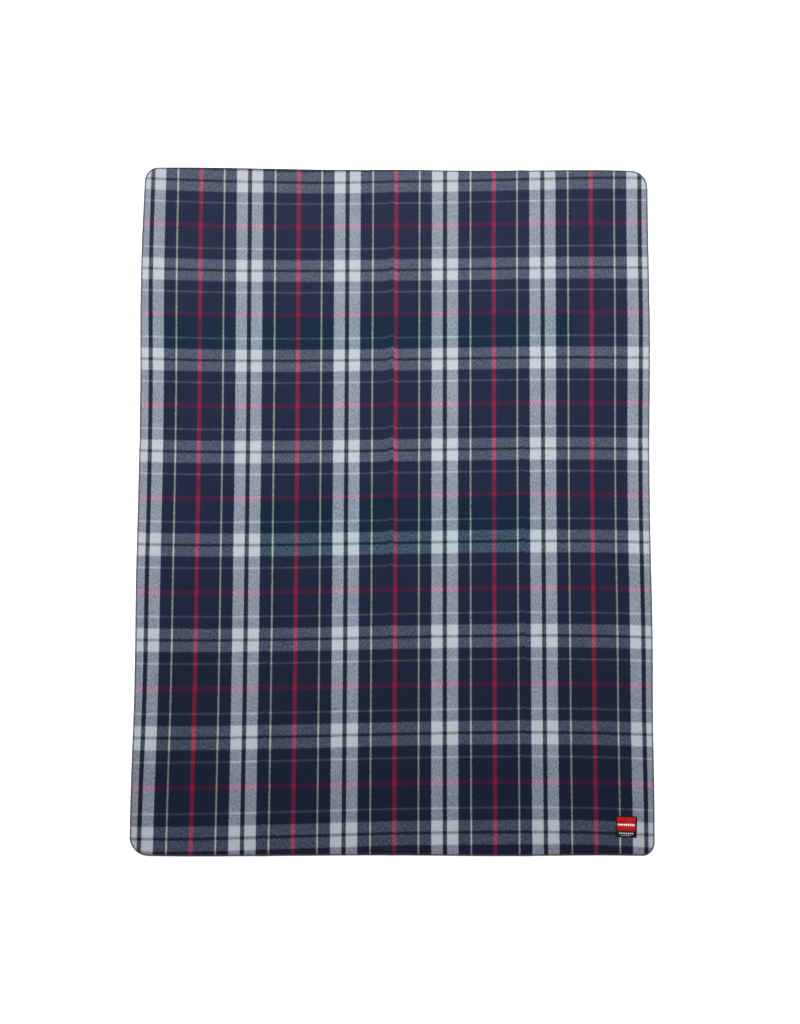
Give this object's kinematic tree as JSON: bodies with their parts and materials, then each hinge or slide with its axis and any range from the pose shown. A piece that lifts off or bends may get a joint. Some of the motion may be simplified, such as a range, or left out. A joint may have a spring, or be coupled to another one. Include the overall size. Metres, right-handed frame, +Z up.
{
  "type": "camp blanket",
  "caption": "Flat plaid camp blanket of brushed twill with round corners, an overlocked edge and a sewn label at one corner.",
  "frame": {"origin": "middle of the underside, on the ground", "axes": "+X across the width, +Y along the length away from the labelled end, +Z up out of the face"},
  "size_m": [1.49, 2, 0.0047],
  "materials": {
    "plaid_twill": "matte",
    "overlock_thread": "matte",
    "woven_label": "satin",
    "label_thread": "satin",
    "care_satin": "satin"
  },
  "bodies": {
    "root": {"blanket_cloth": "plaid_twill", "overlock_upper_looper_thread": "overlock_thread", "overlock_lower_looper_thread": "overlock_thread", "overlock_needle_thread": "overlock_thread", "brand_label": "woven_label", "label_needle_thread": "label_thread", "label_bobbin_thread": "label_thread", "care_label": "care_satin"}
  },
  "joints": []
}
